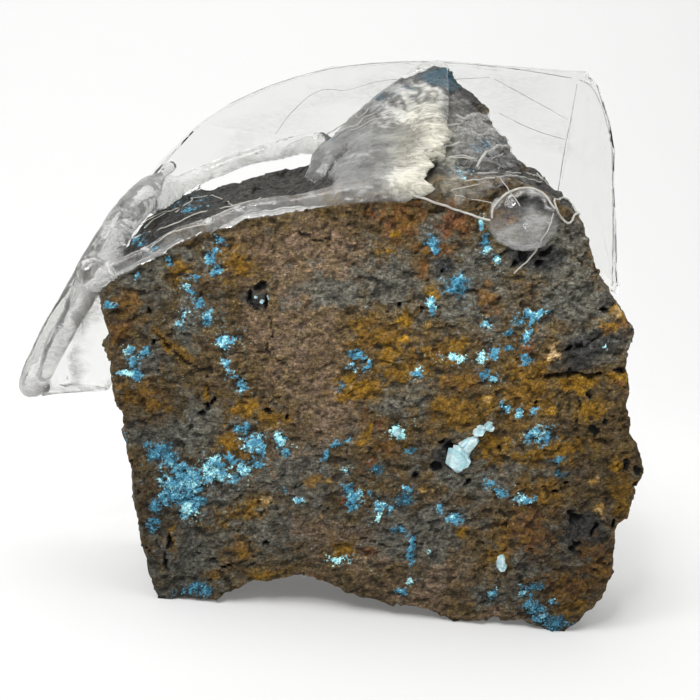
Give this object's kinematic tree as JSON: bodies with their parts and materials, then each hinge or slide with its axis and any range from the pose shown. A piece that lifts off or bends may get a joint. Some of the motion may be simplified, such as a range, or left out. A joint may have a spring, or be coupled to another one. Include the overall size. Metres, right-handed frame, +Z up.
{
  "type": "rough shattuckite specimen with glue and a tray remnant",
  "caption": "Broken slab of dark iron-stained rock with blue shattuckite crusts, standing on its lower edge, with clear glue and a torn clear plastic tray along its upper edge.",
  "frame": {"origin": "middle of the bounding box in plan, on the surface that the specimen stands on", "axes": "+Z up, -Y out of the mineral face, +X to the right as the face is looked at"},
  "size_m": [0.0802, 0.0288, 0.0719],
  "materials": {
    "rock": "rough broken rock, brown-grey with ochre stain, blue crusts and pale turquoise crystals",
    "clear_plastic": "thin clear moulded plastic, glossy, slightly rippled",
    "clear_glue": "set hot-melt glue, glossy, clear to milky"
  },
  "bodies": {
    "root": {"stone": "rock", "plastic_tray": "clear_plastic", "glue_main": "clear_glue", "glue_drop": "clear_glue"}
  },
  "joints": []
}
